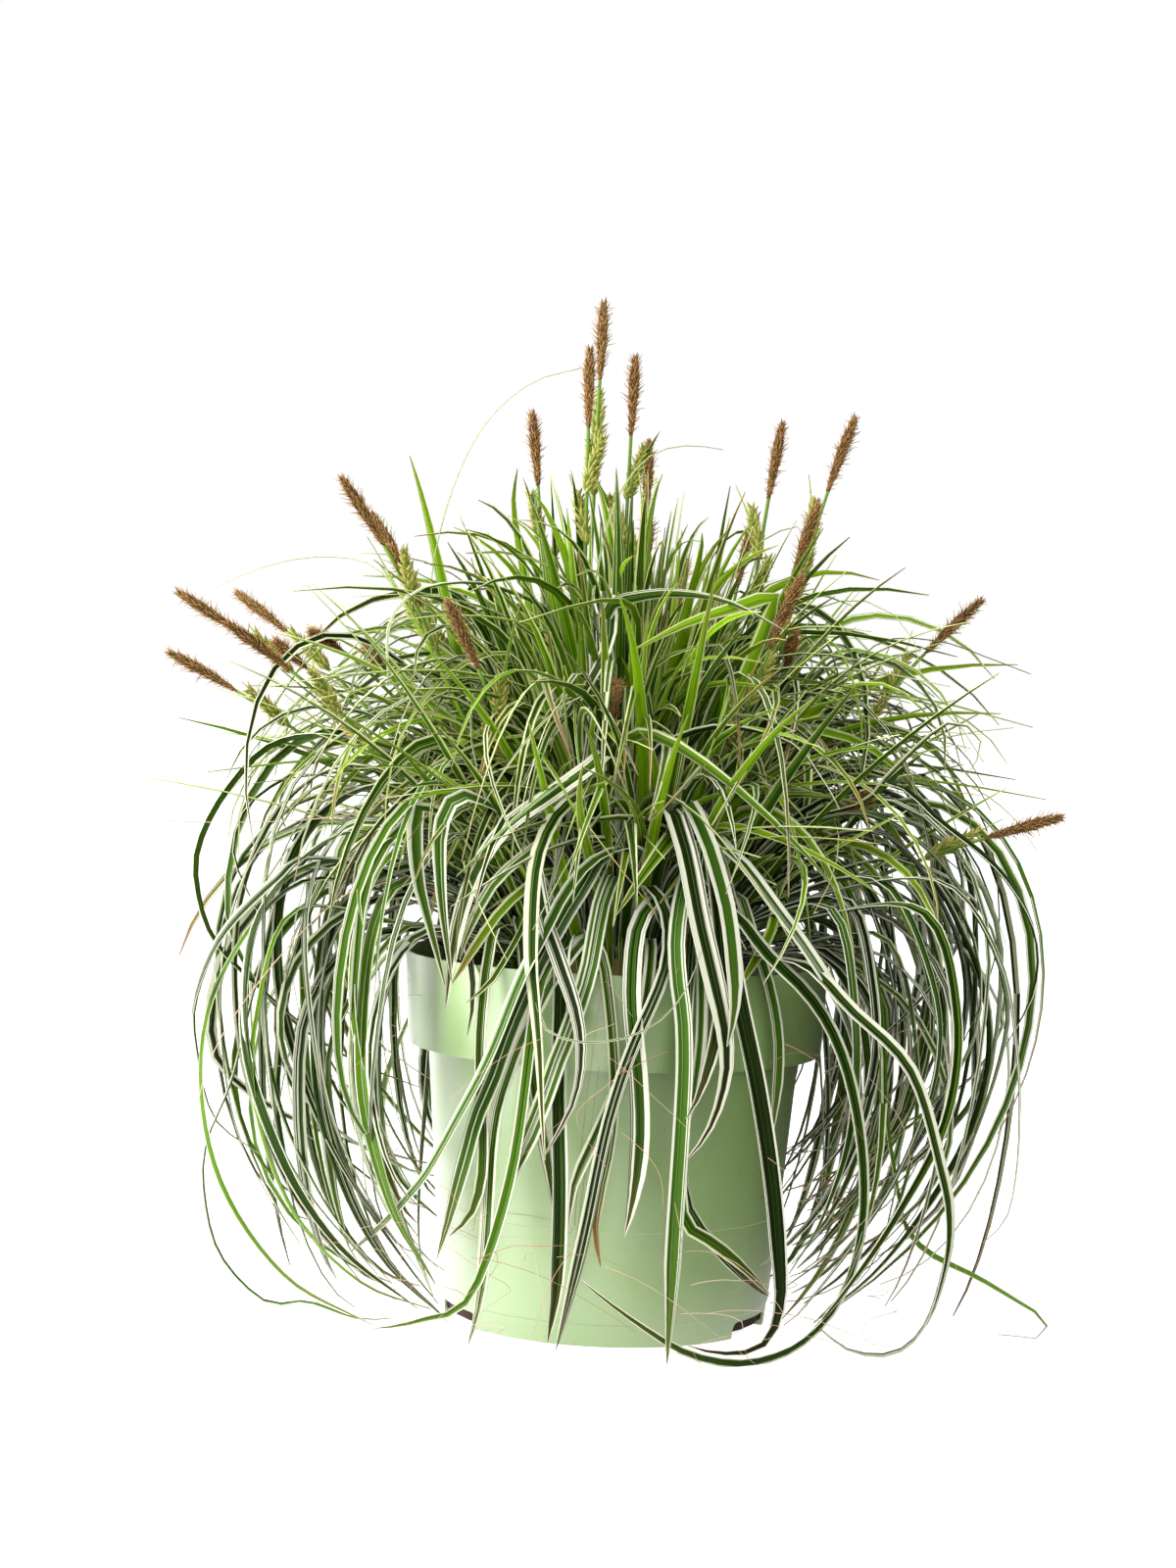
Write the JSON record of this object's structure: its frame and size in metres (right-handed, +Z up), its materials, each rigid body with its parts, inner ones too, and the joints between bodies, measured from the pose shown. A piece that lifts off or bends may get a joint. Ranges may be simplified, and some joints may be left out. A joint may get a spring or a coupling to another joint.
{
  "type": "potted variegated sedge",
  "caption": "Variegated sedge with arching striped leaves and brown flower spikes, in its pale green nursery pot.",
  "frame": {"origin": "middle of the pot's underside, on the surface it stands on", "axes": "+Z up along the pot's axis, -Y towards the front, +X to the right seen from the front"},
  "size_m": [0.4034, 0.351, 0.454],
  "materials": {
    "pot": "matt moulded",
    "soil": "loose, fibrous",
    "leaf": "satin, striped with cream",
    "stem": "satin",
    "pollen": "rough, dry"
  },
  "bodies": {
    "root": {"pot": "pot", "soil": "soil", "middle_tuft": "leaf", "leaf_tuft_01": "leaf", "leaf_tuft_02": "leaf", "leaf_tuft_03": "leaf", "leaf_tuft_04": "leaf", "leaf_tuft_05": "leaf", "leaf_tuft_06": "leaf", "leaf_tuft_07": "leaf", "leaf_tuft_08": "leaf", "leaf_tuft_09": "leaf", "leaf_tuft_10": "leaf", "leaf_tuft_11": "leaf", "leaf_tuft_12": "leaf", "leaf_tuft_13": "leaf", "leaf_tuft_14": "leaf", "flower_stem_01": "stem", "pollen_spike_01": "pollen", "flower_stem_02": "stem", "pollen_spike_02": "pollen", "flower_stem_03": "stem", "pollen_spike_03": "pollen", "flower_stem_04": "stem", "pollen_spike_04": "pollen", "flower_stem_05": "stem", "pollen_spike_05": "pollen", "flower_stem_06": "stem", "pollen_spike_06": "pollen", "flower_stem_07": "stem", "pollen_spike_07": "pollen", "flower_stem_08": "stem", "pollen_spike_08": "pollen", "flower_stem_09": "stem", "pollen_spike_09": "pollen", "flower_stem_10": "stem", "pollen_spike_10": "pollen", "flower_stem_11": "stem", "pollen_spike_11": "pollen", "flower_stem_12": "stem", "pollen_spike_12": "pollen", "flower_stem_13": "stem", "pollen_spike_13": "pollen", "flower_stem_14": "stem", "pollen_spike_14": "pollen", "flower_stem_15": "stem", "pollen_spike_15": "pollen", "flower_stem_16": "stem", "pollen_spike_16": "pollen", "flower_stem_17": "stem", "pollen_spike_17": "pollen", "flower_stem_18": "stem", "pollen_spike_18": "pollen", "flower_stem_19": "stem", "pollen_spike_19": "pollen", "flower_stem_20": "stem", "pollen_spike_20": "pollen", "flower_stem_21": "stem", "pollen_spike_21": "pollen"}
  },
  "joints": []
}
